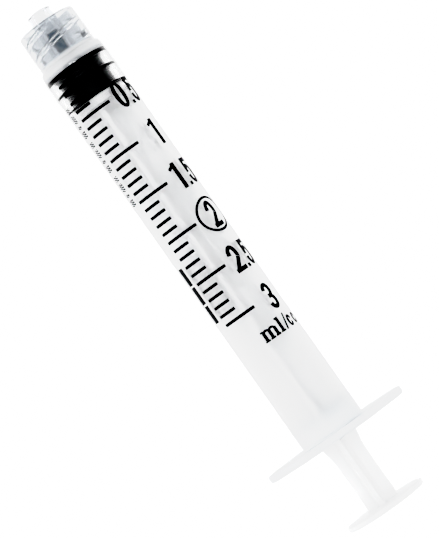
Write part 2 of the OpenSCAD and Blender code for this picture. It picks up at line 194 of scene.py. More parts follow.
# %% [markdown]
# ## Barrel: the finger wings
# Seen along the axis, the wings are a long plate: two flats 14 mm apart that keep the syringe from
# rolling off a bench, straight tapers, and a round end on each wing. The lathe needs the distance
# from the axis to this outline at every turn. The outline is drawn densely as the hull of its
# parts, and read off in polar form.
# %% Draw the outline of the wings
span_half = (barrel_high.y - barrel_low.y) / 2 / MM
flat_at = (barrel_high.z - barrel_low.z) / 2 / MM
flat_half = 5.5
wing_r = 3.8
corner_ease = 1.2


def wing_outline():
    """Points (up, side) round a quarter of the wings, from the top flat to the end of a wing."""
    centre = span_half - wing_r
    run = centre - flat_half
    lean = math.atan2(flat_at, run) - math.asin(wing_r / math.hypot(run, flat_at))
    tangent = (wing_r * math.cos(lean), centre + wing_r * math.sin(lean))
    top = eased(
        [(flat_at, 0, 0), (flat_at, flat_half, corner_ease), (tangent[0], tangent[1], 0)], 8
    )
    bow = [
        (wing_r * math.cos(a), centre + wing_r * math.sin(a))
        for a in np.linspace(lean, math.pi / 2, 24)
    ]
    return np.array([tuple(p) for p in top] + bow)


quarter_line = wing_outline()
wing_turn = np.arctan2(quarter_line[:, 1], quarter_line[:, 0])


def reach_at(turn):
    """Distance from the axis to the edge of the wings at each turn."""
    folded = np.abs((turn + math.pi / 2) % math.pi - math.pi / 2)
    # Points between two drawn ones lie on a straight line, so 1 / radius is what runs evenly
    i = np.clip(np.searchsorted(wing_turn, folded) - 1, 0, len(wing_turn) - 2)
    a, b = quarter_line[i], quarter_line[i + 1]
    d = np.stack([np.cos(folded), np.sin(folded)], -1)
    e = b - a
    run = a[..., 0] * e[..., 1] - a[..., 1] * e[..., 0]
    return run / (d[..., 0] * e[..., 1] - d[..., 1] * e[..., 0])


print("wings reach", round(float(reach_at(np.array([math.pi / 2]))[0]), 2), "mm")

# %% [markdown]
# ## Barrel: the locking thread
# A fitting screws into the collar on a steep two-start thread: each start climbs 5 mm in a turn and
# runs 0.85 of a turn. On the mould it is a groove round a core, which leaves a low ridge inside the
# collar. The ridge is a height that is taken off the radius of the collar's inner wall, so it grows
# out of the plastic with the flanks a real one has.
# %% Height of the thread ridges
cone_proud = 2.1
collar_end = tip_end + cone_proud
shoulder = -1.95
collar_bore_r = 4.05
crest_r = 3.55
lead = 5.0
run_turns = 0.85
first_ridge = collar_end + 0.8


def ridge(place, turn):
    """How far the thread stands into the collar at a place, for every turn."""
    high = np.zeros_like(turn)
    for start in (0, math.pi):
        along = ((-turn - start) / (2 * math.pi)) % 1
        off = np.abs(place - first_ridge - lead * along)
        share = along / run_turns
        fade = np.clip(0.15 + 10 * np.minimum(share, 1 - share), 0, 1)
        flank = np.clip((0.5 - off) / 0.3, 0, 1)
        rise = flank * flank * (3 - 2 * flank) * fade * (share < 1)
        high = np.maximum(high, (collar_bore_r - crest_r) * rise)
    return high


print("thread from", round(first_ridge, 2), "to", round(first_ridge + lead * run_turns, 2), "mm")

# %% [markdown]
# ## Barrel: one closed skin
# Light bends where it enters and leaves the plastic, so the wall needs an outside, an inside, and
# one unbroken skin round both. The profile starts at the open mouth, runs over the wings, along the
# tube to the shoulder, round the collar, up the cone and back through the tip, and then along the
# bore, past the low bead that keeps the gasket in. The third number of a corner is how much of the
# wings' reach is added to its radius.
# %% Outside of the barrel
wing_t = 1.2
wings_front = wings_rear - wing_t
wing_round = 0.38
collar_r = 4.85
shoulder_round = 1.7
shoulder_drop = 0.3
quarter_turn = np.linspace(0, math.pi / 2, 10)
nose_of_shoulder = [
    (
        shoulder + shoulder_round * (1 - math.sin(a)),
        tube_r - shoulder_drop * (1 - math.cos(a)),
        0,
    )
    for a in quarter_turn
]
wing_rings = eased(
    [
        (wings_rear, bore_r + 0.3, 0, 0),
        (wings_rear, -0.8, 1, 0),
        (wings_rear, 0, 1, wing_round),
        (wings_front, 0, 1, wing_round),
        (wings_front, -0.8, 1, 0),
        (wings_front, tube_r + 0.6, 0, 0),
        (wings_front, tube_r, 0, 0.4),
        (wings_front - 4, tube_r, 0, 0),
    ]
)
collar_rings = eased(
    [
        (shoulder, collar_r + 0.1, 0, 0),
        (shoulder, collar_r, 0, 0.09),
        (collar_end, collar_r, 0, 0.3),
        (collar_end, collar_bore_r, 0, 0.25),
        (collar_end + 0.4, collar_bore_r, 0, 0),
    ]
)
outside = wing_rings + nose_of_shoulder + collar_rings
print(len(outside), "rings from the mouth over the wings to the collar's lip")

# %% Inside of the collar, cone, tip and bore
cone_end_r, cone_root_r = 1.985, 2.243
tip_bore = mounts["tip_port"]["dims"]
tip_bore_r, tip_bore_end = tip_bore["r_mm"], tip_end + tip_bore["length_mm"]
nose_bore_r, nose_bore_end = 1.05, -1.05
bore_floor = -0.45
bead = 0.2
threaded = [(p, collar_bore_r, 0) for p in np.arange(collar_end + 0.45, shoulder - 0.3, 0.08)]
cone_rings = eased(
    [
        (shoulder - 0.3, collar_bore_r, 0, 0),
        (shoulder, collar_bore_r, 0, 0.25),
        (shoulder, cone_root_r, 0, 0.35),
        (tip_end, cone_end_r, 0, 0.22),
        (tip_end, tip_bore_r, 0, 0.12),
        (tip_bore_end, tip_bore_r, 0, 0.05),
        (tip_bore_end, nose_bore_r, 0, 0.05),
        (nose_bore_end, nose_bore_r, 0, 0.1),
        (bore_floor, nose_bore_r + 0.6, 0, 0.1),
        (bore_floor, bore_r, 0, 0.25),
        (3, bore_r, 0, 0),
    ]
)
mouth_rings = eased(
    [
        (wings_front - 3, bore_r, 0, 0),
        (wings_front - 1.8, bore_r, 0, 0.15),
        (wings_front - 1.4, bore_r - bead, 0, 0.15),
        (wings_front - 1.0, bore_r - bead, 0, 0.15),
        (wings_front - 0.6, bore_r, 0, 0.15),
        (wings_rear - 0.3, bore_r, 0, 0.1),
        (wings_rear - 0.02, bore_r + 0.28, 0, 0),
    ]
)
print(len(threaded), "rings carry the thread,", len(cone_rings), "the cone and the tip bore")

# %% Skin the barrel
reach = reach_at(ROUND)
rings = [(p, r + w * reach) for p, r, w in outside]
rings += [(p, r - ridge(p, ROUND)) for p, r, w in threaded]
rings += [(p, r) for p, r, w in cone_rings + mouth_rings]
barrel = skin("barrel_moulding", rings, ROUND, "barrel", loop=True)
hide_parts("barrel")

# %% [markdown]
# ## Gasket: ribs that press on the bore
# The rubber is squeezed a little by the tube, so its ribs touch the wall without any air. That is
# what makes them look black right to the edge of the tube, while the waists between them, with air
# round them, leave bright slivers. The ribs are therefore a hair larger than the bore, which is the
# squeeze of the real thing, and their corners are eased as moulded rubber is. A nose in front fills
# the tip, and a round pocket behind takes the knob of the rod.
# %% Skin the gasket
SQUEEZE = 0.004
squeezed = bore_r + SQUEEZE
waist_r = bore_r - 0.46
nose_tip, nose_r = -6.70, 0.93
face = -0.40
pocket_floor, pocket_r = 1.65, 2.75
lip_front, lip_r = 4.05, 1.95
pinhole_r = 0.12
gasket_rings = eased(
    [
        # Nose and front face
        (nose_tip, pinhole_r, 0),
        (nose_tip, nose_r, 0.25),
        (-0.95, nose_r, 0.2),
        (face, 1.48, 0.15),
        # Front rib and waist
        (face, squeezed, 0.12),
        (0.40, squeezed, 0.1),
        (0.60, waist_r, 0.12),
        (2.10, waist_r, 0.12),
        # Middle rib and waist
        (2.30, squeezed, 0.1),
        (2.90, squeezed, 0.1),
        (3.10, waist_r, 0.12),
        (5.05, waist_r, 0.12),
        # Rear rib
        (5.25, squeezed, 0.1),
        (5.60, squeezed, 0.08),
        (gasket_rear, squeezed - 0.15, 0.05),
        # Lip and pocket
        (gasket_rear, lip_r, 0.15),
        (lip_front, lip_r, 0.1),
        (lip_front, pocket_r, 0.1),
        (pocket_floor, pocket_r, 0.2),
        (pocket_floor, pinhole_r, 0),
    ]
)
gasket = skin("gasket_moulding", gasket_rings, ROUND, "gasket", loop=False)
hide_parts("gasket")

# %% [markdown]
# ## Plunger rod: a cross of thin ribs
# A solid rod of plastic would sink in as it cools, so the mould makes a cross of four thin ribs.
# Its outline, seen along the axis, can be read in polar form like the wings: the end of a rib, its
# small edge rounding, its flat side, and the round core in the middle. The same lathe then runs
# from the knob over the push disc and the cross to the thumb press in one skin.
# %% Outline of the cross
STEPS = turns(480)
rib_half_t = 0.4
rib_turn = math.radians(-7.4)
core_r = 0.9
rib_edge = 0.14


def cross(half_span):
    """Distance from the axis to the cross of ribs at each turn, for one half span."""
    off = (STEPS - rib_turn + math.pi / 4) % (math.pi / 2) - math.pi / 4
    c, s = np.cos(off), np.abs(np.sin(off))
    end = half_span / np.maximum(c, 1e-6)
    side = rib_half_t / np.maximum(s, 1e-6)
    r = np.minimum(end, side)
    cx, cy = half_span - rib_edge, rib_half_t - rib_edge
    along = c * cx + s * cy
    room = along**2 - cx * cx - cy * cy + rib_edge**2
    arc = along + np.sqrt(np.maximum(room, 0))
    on_arc = (room > 0) & (arc * c > cx) & (arc * s > cy)
    r = np.where(on_arc, arc, r)
    # A soft step between the ribs' sides and the core, as a mould has
    return (r**6 + core_r**6) ** (1 / 6)


wide, slim = 4.2, 2.65
print("cross spans", round(float(cross(wide).max()) * 2, 2), "mm inside the barrel")

# %% Skin the rod
disc_gap, disc_t, press_t = 0.05, 1.4, 0.9
disc_front = gasket_rear + disc_gap
disc_rear = disc_front + disc_t
knob_r, neck_r, disc_r = 2.7, 1.9, 4.1
knob_rear = 4.00
taper_from, taper_to = wings_rear - 5.3, wings_rear + 2.7
press_front = thumb_rear - press_t
knob_rings = eased(
    [
        (knob_front, 0.1, 0),
        (knob_front, knob_r - 0.5, 0.15),
        (knob_front + 0.5, knob_r, 0.2),
        (knob_rear, knob_r, 0.15),
        (knob_rear, neck_r, 0.1),
        (disc_front, neck_r, 0.15),
        (disc_front, disc_r, 0.2),
        (disc_rear, disc_r, 0.2),
        (disc_rear, disc_r - 0.5, 0),
    ]
)
press_rings = eased(
    [
        (press_front, slim + 0.25, 0),
        (press_front, thumb_r, 0.34),
        (thumb_rear, thumb_r, 0.34),
        (thumb_rear, 0.3, 0),
    ]
)
ribs_root = [(disc_rear, cross(wide)), (disc_rear + 0.1, cross(wide))]
rib_run = [
    (place, cross(half))
    for place, half in eased(
        [
            (disc_rear + 0.5, wide, 0),
            (taper_from, wide, 1.5),
            (taper_to, slim, 1.5),
            (press_front - 0.5, slim, 0),
        ],
        6,
    )
]
spread = [
    (press_front - 0.5 + 0.5 * t, cross(slim) + 0.25 * t**3) for t in (0.4, 0.7, 0.9, 1.0)
]
rod = skin(
    "plunger_rod_moulding",
    knob_rings + ribs_root + rib_run + spread + press_rings,
    STEPS,
    "plunger_rod",
    loop=False,
)
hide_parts("plunger_rod")

# %% [markdown]
# ## Printed scale: find every mark
# The scale is pad-printed: a soft pad lays a film of black ink about 0.02 mm thick on the tube. In
# Blender it could be a picture wrapped on the tube, but then the marks would be as sharp as the
# picture has dots, and no film would stand on the plastic. Here every mark is a real film. The
# frame already holds each mark as a small body, so its place and size are read from there.
# %% Split a printed node into its marks
def marks(node):
    """The (place from, place to, turn from, turn to) of every separate mark of a node, in order
    round the tube and then along it. Turns are compared to a hundredth, so equal ones tie."""
    mesh = frame["nodes"][node].data
    spot = {}
    ids = [spot.setdefault(tuple(round(c, 7) for c in v.co), len(spot)) for v in mesh.vertices]
    lead_of = list(range(len(spot)))

    def leader(i):
        while lead_of[i] != i:
            i = lead_of[i]
        return i

    for edge in mesh.edges:
        a, b = (leader(ids[v]) for v in edge.vertices)
        lead_of[max(a, b)] = min(a, b)
    groups = {}
    for co, i in spot.items():
        groups.setdefault(leader(i), []).append(co)
    found = []
    for group in groups.values():
        co = np.array(group)
        place = behind(co[:, 0])
        turn = np.arctan2(-co[:, 1], co[:, 2] - axis_z)
        found.append((place.min(), place.max(), turn.min(), turn.max()))
    return sorted(found, key=lambda m: (round(m[2] + m[3], 2), m[0]))


print("tenth lines", len(marks("tenth_lines")), "half lines", len(marks("half_lines")))

# %% [markdown]
# ## Printed scale: shapes as distances
# A letter can be drawn as the distance to its edge: below zero is ink, above is bare plastic. Such
# shapes join with a minimum and cut with a maximum, so a numeral is a few bars and arcs that flow
# together as wet ink does, and its corners come out a little round. All of them are drawn inside a
# box from -w to w and from -h to h.
# %% Bars, arcs and outlines
def bar(x, y, x0, y0, x1, y1):
    """Distance to an upright box."""
    beside = np.abs(x - (x0 + x1) / 2) - (x1 - x0) / 2
    above = np.abs(y - (y0 + y1) / 2) - (y1 - y0) / 2
    return np.maximum(beside, above)


def stroke(x, y, x0, y0, x1, y1, width):
    """Distance to a slanted bar between two points."""
    along = np.array([x1 - x0, y1 - y0])
    length = np.hypot(*along)
    along = along / length
    u = (x - x0) * along[0] + (y - y0) * along[1]
    v = (y - y0) * along[0] - (x - x0) * along[1]
    return np.maximum(np.abs(v) - width / 2, np.abs(u - length / 2) - length / 2)


def oval(x, y, rx, ry):
    """Near distance to an ellipse about the origin."""
    k = np.hypot(x / rx, y / ry)
    slope = np.hypot(x / rx**2, y / ry**2) / np.maximum(k, 1e-6)
    return (k - 1) / np.maximum(slope, 1e-6)


def arc(x, y, cx, cy, rx, ry, width, start, end):
    """Distance to a stroke along an ellipse, from one angle to the other in degrees."""
    x, y = x - cx, y - cy
    half = width / 2
    ring = np.maximum(oval(x, y, rx + half, ry + half), -oval(x, y, rx - half, ry - half))
    a, b = math.radians(start), math.radians(end)
    before = math.sin(a) * x - math.cos(a) * y
    after = math.cos(b) * y - math.sin(b) * x
    if end - start >= 360:
        return ring
    gap = np.minimum(before, after) if end - start > 180 else np.maximum(before, after)
    return np.maximum(ring, gap)


# %% Numerals
def digit(value, x, y, w, h, s):
    """Distance to the edge of a bold, narrow numeral with strokes of width s."""
    rx = w - s / 2
    if value == 0:
        return np.maximum(oval(x, y, w, h), -oval(x, y, w - s, h - s * 0.85))
    if value == 1:
        stem = bar(x, y, w - 1.1 * s, -h, w, h)
        return np.minimum(stem, stroke(x, y, w - 0.75 * s, 0.80 * h, -w, 0.58 * h, 0.22 * h))
    if value == 2:
        ry = 0.58 * h
        cy = h - s / 2 - ry
        bow = arc(x, y, 0, cy, rx, ry, s, -36, 170)
        c, n = math.cos(math.radians(34)), math.sin(math.radians(34))
        upper = (rx * c + 0.06 * s, cy - ry * n + 0.3 * s)
        lower = (-w + 0.55 * s, -h + 0.55 * s)
        slope = np.maximum(stroke(x, y, *upper, *lower, s), -w - x)
        return np.minimum(np.minimum(bow, slope), bar(x, y, -w, -h, w, -h + s))
    if value == 3:
        ry = (h - s / 2) / 2
        top = arc(x, y, 0, ry, rx * 0.95, ry, s, -90, 168)
        foot = arc(x, y, 0, -ry, rx, ry, s, -168, 90)
        return np.minimum(np.minimum(top, foot), bar(x, y, -0.35 * w, -s / 2, 0.1 * w, s / 2))
    ry = 0.6 * h
    bowl = arc(x, y, 0, -h + s / 2 + ry, rx, ry, s, -168, 142)
    stem = bar(x, y, -0.92 * w, -s / 3, -0.92 * w + s * 0.95, h)
    return np.minimum(np.minimum(bowl, stem), bar(x, y, -0.92 * w, h - s, 0.92 * w, h))


# %% Letters of the unit mark
def letter(name, x, y, w, h):
    """Distance to the edge of a plain slab letter of the unit mark."""
    s = 0.44
    slab = 0.2
    if name == "c":
        return arc(x, y, 0, 0, w - 0.17, h - 0.15, 0.36, 44, 316)
    if name == "/":
        return stroke(x, y, -w + 0.1, -h, w - 0.1, h, 0.2)
    if name == "l":
        stem = bar(x, y, -s / 2, -h, s / 2, h)
        feet = bar(x, y, -w, -h, w, -h + slab)
        return np.minimum(np.minimum(stem, feet), bar(x, y, -w, h - slab, 0, h))
    shape = bar(x, y, -w, h - slab, -w + 0.4, h)
    pitch = w - s / 2 - 0.16
    for side in (-1, 0, 1):
        stem = bar(x, y, side * pitch - s / 2, -h, side * pitch + s / 2, h - 0.35)
        feet = bar(x, y, side * pitch - s / 2 - 0.16, -h, side * pitch + s / 2 + 0.16, -h + slab)
        shape = np.minimum(shape, np.minimum(stem, feet))
    for side in (-0.5, 0.5):
        bow = arc(x, y, side * pitch, h - 0.6, pitch / 2, 0.45, 0.3, 0, 180)
        shape = np.minimum(shape, bow)
    return shape


print("digits and letters drawn as distances")

# %% [markdown]
# ## Printed scale: lay the films
# Each mark is cut from a fine grid: squares whose middle is inked stay, and the points along the
# edge slide onto the exact edge of the shape. The grid is bent round the tube, given the thickness
# of the ink, and sunk by a few thousandths of a millimetre into the plastic, so that no air is left
# under it. The edge wavers by a hundredth of a millimetre, as the edge of a pad print does.
# %% Cut a film of ink
INK = 0.02
SUNK = 0.004
WAVER = 0.006
HATCH, HATCH_INK = 0.4, 0.26


def wavered(shape):
    """The same shape with the slightly uneven edge of printed ink."""
    return lambda x, y: shape(x, y) + WAVER * np.sin(9 * x + 5 * y) * np.sin(7 * y - 4 * x + 1)


def film(shape, low, high, cell):
    """Points (across, up, height) and faces of a film of ink whose edge is where shape is zero."""
    nx, ny = (max(2, round((high[i] - low[i]) / cell)) + 3 for i in (0, 1))
    xs = np.linspace(low[0] - cell, high[0] + cell, nx)
    ys = np.linspace(low[1] - cell, high[1] + cell, ny)
    x, y = (g.ravel() for g in np.meshgrid(xs, ys, indexing="ij"))
    middles = np.meshgrid((xs[:-1] + xs[1:]) / 2, (ys[:-1] + ys[1:]) / 2, indexing="ij")
    kept = shape(*middles) < 0
    padded = np.pad(kept, 1)
    inked = sum(padded[i : i + nx, j : j + ny].astype(int) for i in (0, 1) for j in (0, 1)).ravel()
    edge = (inked > 0) & (inked < 4)
    tiny = cell * 0.05
    for _ in range(3):
        d = shape(x, y)
        gx = (shape(x + tiny, y) - shape(x - tiny, y)) / (2 * tiny)
        gy = (shape(x, y + tiny) - shape(x, y - tiny)) / (2 * tiny)
        steep = np.maximum(gx * gx + gy * gy, 0.2)
        x = np.where(edge, x - np.clip(d * gx / steep, -cell, cell), x)
        y = np.where(edge, y - np.clip(d * gy / steep, -cell, cell), y)
    top = np.stack([x, y, np.where(edge, 0.6 * INK, INK)], -1)
    foot = np.stack([x, y, np.full_like(x, -SUNK)], -1)
    spots = nx * ny
    faces = []
    for i, j in np.argwhere(kept):
        c = [i * ny + j, (i + 1) * ny + j, (i + 1) * ny + j + 1, i * ny + j + 1]
        faces += [tuple(c), tuple(q + spots for q in c[::-1])]
        for k, (di, dj) in enumerate(((0, -1), (1, 0), (0, 1), (-1, 0))):
            if not padded[i + 1 + di, j + 1 + dj]:
                a, b = c[k], c[(k + 1) % 4]
                faces.append((b, a, a + spots, b + spots))
    return np.concatenate([top, foot]), faces


# %% Print a node
def print_marks(name, node, shapes, cell):
    """One piece of ink for a node. Every mark gets its shape, fitted to its box in the frame."""
    co, faces = [], []
    for mark, shape in zip(marks(node), shapes, strict=True):
        middle = ((mark[0] + mark[1]) / 2, (mark[2] + mark[3]) / 2)
        w, h = (mark[3] - mark[2]) / 2 * tube_r, (mark[1] - mark[0]) / 2
        spots, quads = film(wavered(lambda x, y: shape(x, y, w, h)), (-w, -h), (w, h), cell)
        base = sum(len(c) for c in co)
        turn = middle[1] + spots[:, 0] / tube_r
        co.append(points(middle[0] - spots[:, 1], tube_r + spots[:, 2], turn))
        faces += [tuple(q + base for q in f) for f in quads]
    co = np.concatenate(co)
    used = sorted({q for f in faces for q in f})
    new = {q: i for i, q in enumerate(used)}
    faces = [tuple(new[q] for q in f)[::-1] for f in faces]
    piece = mesh_piece(name, co[used], faces, "barrel")
    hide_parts(node)
    return piece


def plain(x, y, w, h):
    """A full bar with corners that the ink has rounded a little."""
    r = 0.05
    px, py = np.abs(x) - w + r, np.abs(y) - h + r
    return np.hypot(np.maximum(px, 0), np.maximum(py, 0)) + np.minimum(np.maximum(px, py), 0) - r


def hatched(x, y, w, h):
    """A bar broken into fine strokes, which stands in for small print."""
    phase = (y / HATCH + 0.5 * np.sin(3 * x)) % 1
    return np.maximum(plain(x, y, w, h), np.abs(phase - 0.5) * HATCH - HATCH_INK / 2)


ink_pieces = [
    print_marks(node + "_ink", node, [shape] * len(marks(node)), cell)
    for node, shape, cell in (
        ("tenth_lines", plain, 0.1),
        ("half_lines", plain, 0.1),
        ("zero_line", plain, 0.1),
        ("side_dashes", hatched, 0.05),
        ("side_bar", plain, 0.1),
    )
]

# %% Print the numerals, the ring and the unit mark
STROKE = 0.72
RING_LINE = 0.42
BOLDER = 0.04


def numeral(value):
    return lambda x, y, w, h: digit(value, x, y, w, h, STROKE)


def ring(x, y, w, h):
    return np.maximum(oval(x, y, w, h), -oval(x, y, w - RING_LINE, h - RING_LINE))


def unit(name):
    return lambda x, y, w, h: letter(name, x, y, w, h) - BOLDER


for node, shapes in {
    "numeral_0_5": [numeral(0), plain, numeral(5)],
    "numeral_1": [numeral(1)],
    "numeral_1_5": [numeral(1), plain, numeral(5)],
    "numeral_2": [numeral(2)],
    "ring_round_2": [ring],
    "numeral_2_5": [numeral(2), plain, numeral(5)],
    "numeral_3": [numeral(3)],
    "unit_mark": [unit(c) for c in "ml/cc"],
}.items():
    ink_pieces.append(print_marks(node + "_ink", node, shapes, 0.06))

# %% [markdown]
# ## Shader maths as plain sums
# A material is a network of nodes, and wiring maths by hand hides what it says. A small class wraps
# a socket and gives it the usual operators, so a sum of sockets is written as a sum. Any other node
# comes from one method, which takes the type of the node, its settings, and what goes into it.
# %% A socket that can be added and multiplied
class Flow:
    """One output of a shader node."""

    def __init__(self, tree, socket):
        self.tree, self.socket = tree, socket

    def node(self, kind, settings=None, **inputs):
        """A new node of a kind. Settings come first, then values or flows for its inputs by name,
        with _ for a space, or by number as in i0."""
        made = self.tree.nodes.new(kind)
        for key, value in (settings or {}).items():
            if key == "stops":
                ramp = made.color_ramp.elements
                while len(ramp) < len(value):
                    ramp.new(0.5)
                for stop, (at, colour) in zip(ramp, value, strict=True):
                    stop.position, stop.color = at, colour
            else:
                setattr(made, key, value)
        for key, value in inputs.items():
            spot = made.inputs[int(key[1:]) if key[1:].isdigit() else key.replace("_", " ")]
            if isinstance(value, Flow):
                self.tree.links.new(value.socket, spot)
            else:
                spot.default_value = value
        out = next((o for o in made.outputs if o.enabled), None)
        return Flow(self.tree, out)

    def out(self, name):
        """Another output of the same node."""
        return Flow(self.tree, self.socket.node.outputs[name])

    def maths(self, operation, *others):
        values = {f"i{i}": v for i, v in enumerate((self, *others))}
        return self.node("ShaderNodeMath", {"operation": operation}, **values)

    def __add__(self, other):
        return self.maths("ADD", other)

    __radd__ = __add__

    def __mul__(self, other):
        return self.maths("MULTIPLY", other)

    __rmul__ = __mul__

    def __sub__(self, other):
        return self.maths("SUBTRACT", other)

    def __rsub__(self, other):
        return self.node("ShaderNodeMath", {"operation": "SUBTRACT"}, i0=other, i1=self)

    def __pow__(self, other):
        return self.maths("POWER", other)


def material(name):
    """A new material with an empty tree, and a flow to start its nodes from."""
    made = bpy.data.materials.new(name)
    made.use_nodes = True
    made.node_tree.nodes.clear()
    return made, Flow(made.node_tree, None)


def finish_material(start, surface):
    """Joins the last shader to the material's output."""
    start.node("ShaderNodeOutputMaterial", Surface=surface)


def grain(start, scale, detail=3.0, squeeze=(1, 1, 1)):
    """Noise that is fixed to the piece, with a size in periods per metre."""
    spot = start.node("ShaderNodeTexCoord").out("Object")
    spot = start.node("ShaderNodeMapping", Vector=spot, Scale=squeeze)
    return start.node("ShaderNodeTexNoise", Vector=spot, Scale=scale, Detail=detail)


PLASTIC_IOR = 1.49
print("shader maths ready, polypropylene bends light by", PLASTIC_IOR)

# %% [markdown]
# ## Milky polypropylene
# The tube is natural polypropylene: clear enough to read the gasket's edge through it, and cloudy
# enough that the rod inside is only a pale shadow. Refraction with a little roughness gives both,
# since what touches the wall stays sharp and what lies deeper blurs. A small share of white scatter
# stands for the cloud in the plastic. The same material is used from tip to wings, and masks along
# the axis change it: the wall is clearer where the gasket has spread its oil, the cone and the
# collar are thicker and greyer, and the closed end and the wings are so thick that they look solid.
# The mould leaves faint flow marks along the tube as a very low bump, and the haze comes in clouds.
# %% Mask where the wall changes
def step(start, value, low, high, curve="SMOOTHSTEP"):
    """A mask that is 0 where a value is at low and 1 where it is at high."""
    kind = {"interpolation_type": curve}
    return start.node("ShaderNodeMapRange", kind, Value=value, From_Min=low, From_Max=high)


milky, start = material("milky_polypropylene")
flow_marks = grain(start, 420, 4, (0.12, 1, 1))
cloud = grain(start, 130, 3)
spot = start.node("ShaderNodeTexCoord").out("Object")
along = start.node("ShaderNodeSeparateXYZ", Vector=spot).out("X")
across, height = along.out("Y"), along.out("Z") - axis_z
from_axis = (across * across + height * height) ** 0.5
tip_wall = step(start, along, zero_x + 0.3 * MM, zero_x + 1.1 * MM)
collar_wall = tip_wall * step(start, from_axis, 3.6 * MM, 3.9 * MM, "LINEAR")
end_wall = tip_wall * (1 - step(start, along, zero_x + 2.3 * MM, zero_x + 3.0 * MM))
oil_end = zero_x - gasket_rear * MM
oiled = step(start, along, oil_end - 4 * MM, oil_end - 0.5 * MM)
wing_x = zero_x - wings_front * MM
wing_wall = step(start, along, wing_x + 5 * MM, wing_x + 1 * MM)
print("masks for the tip, the collar, the closed end, the oil and the wings")


# %% Colours of the clear and the cloudy part
def tinted(start, share, plain_colour, full_colour):
    """A colour that goes from one to the other by a mask."""
    kind = {"data_type": "RGBA"}
    return start.node("ShaderNodeMix", kind, Factor=share, i6=plain_colour, i7=full_colour)


clear_tone = tinted(start, tip_wall, (0.985, 0.987, 0.99, 1), (0.84, 0.85, 0.865, 1))
clear_tone = tinted(start, collar_wall, clear_tone, (0.66, 0.67, 0.68, 1))
cloud_tone = tinted(start, tip_wall, (0.89, 0.92, 0.95, 1), (0.62, 0.68, 0.74, 1))
cloud_tone = tinted(start, end_wall, cloud_tone, (0.67, 0.672, 0.68, 1))
print("two tones mixed by the masks")

# %% Mix the barrel's plastic
haze = (0.42 + 0.12 * cloud) * (1 - 0.62 * oiled) * (1 - 0.85 * tip_wall + 0.6 * collar_wall)
bump = start.node("ShaderNodeBump", Strength=0.05, Distance=0.00005, Height=flow_marks)
clear = start.node(
    "ShaderNodeBsdfPrincipled",
    Base_Color=clear_tone,
    Roughness=haze,
    IOR=PLASTIC_IOR,
    Specular_Tint=(0.12, 0.12, 0.12, 1),
    Transmission_Weight=1.0,
    Normal=bump,
)
scatter = start.node("ShaderNodeBsdfPrincipled", Base_Color=cloud_tone, Roughness=0.4, Normal=bump)
milk = 0.003 + 0.006 * cloud + 0.07 * tip_wall + 0.03 * collar_wall + 0.6 * (end_wall + wing_wall)
mixed = start.node("ShaderNodeMixShader", i0=milk, i1=clear, i2=scatter)
finish_material(start, mixed)
barrel.data.materials.append(milky)
print("barrel plastic done")

# %% [markdown]
# ## White rod plastic
# The rod is the same plastic, but its ribs carry more of the cloud, so it looks white with soft
# light inside. Subsurface scattering is what that is: light enters, wanders a millimetre and comes
# out again. The mould was sparked rather than polished, which leaves a fine satin grain.
# %% Make the rod's plastic
satin, start = material("rod_polypropylene")
spark = grain(start, 9000, 2)
shade = grain(start, 260, 3)
bump = start.node("ShaderNodeBump", Strength=0.12, Distance=0.00002, Height=spark)
tone = start.node(
    "ShaderNodeValToRGB",
    {"stops": [(0.3, (0.87, 0.875, 0.88, 1)), (0.7, (0.91, 0.912, 0.912, 1))]},
    Fac=shade,
)
body = start.node(
    "ShaderNodeBsdfPrincipled",
    Base_Color=tone,
    Roughness=0.30 + 0.12 * spark,
    IOR=PLASTIC_IOR,
    Subsurface_Weight=0.6,
    Subsurface_Radius=(1.0, 1.0, 1.0),
    Subsurface_Scale=0.0005,
    Normal=bump,
)
finish_material(start, body)
rod.data.materials.append(satin)
print("rod plastic done")

# %% [markdown]
# ## Black rubber and black ink
# The gasket is black moulded rubber with a film of silicone oil, so it is very dark, with a soft
# sheen that the oil makes uneven. The ink is a thin black coat with a dry surface and tiny pits. In
# both, the colour is nearly uniform on the real thing, and the surface is where the detail lies.
# %% Make the rubber
rubber, start = material("gasket_rubber")
oil = grain(start, 900, 3)
skin_grain = grain(start, 6000, 2)
bump = start.node("ShaderNodeBump", Strength=0.15, Distance=0.00002, Height=skin_grain)
tone = start.node(
    "ShaderNodeValToRGB",
    {"stops": [(0.35, (0.004, 0.004, 0.005, 1)), (0.7, (0.009, 0.009, 0.010, 1))]},
    Fac=oil,
)
body = start.node(
    "ShaderNodeBsdfPrincipled",
    Base_Color=tone,
    Roughness=0.28 + 0.2 * oil,
    Specular_IOR_Level=0.08,
    Normal=bump,
)
finish_material(start, body)
gasket.data.materials.append(rubber)
print("rubber done")

# %% Make the ink
black_ink, start = material("printing_ink")
pits = grain(start, 14000, 3)
flood = grain(start, 1500, 2)
bump = start.node("ShaderNodeBump", Strength=0.2, Distance=0.00001, Height=pits)
tone = start.node(
    "ShaderNodeValToRGB",
    {"stops": [(0.35, (0.004, 0.004, 0.005, 1)), (0.75, (0.012, 0.012, 0.013, 1))]},
    Fac=flood,
)
body = start.node(
    "ShaderNodeBsdfPrincipled",
    Base_Color=tone,
    Roughness=0.5 + 0.15 * pits,
    Specular_IOR_Level=0.2,
    Normal=bump,
)
finish_material(start, body)
for piece in ink_pieces:
    piece.data.materials.append(black_ink)
print("ink done on", len(ink_pieces), "pieces")

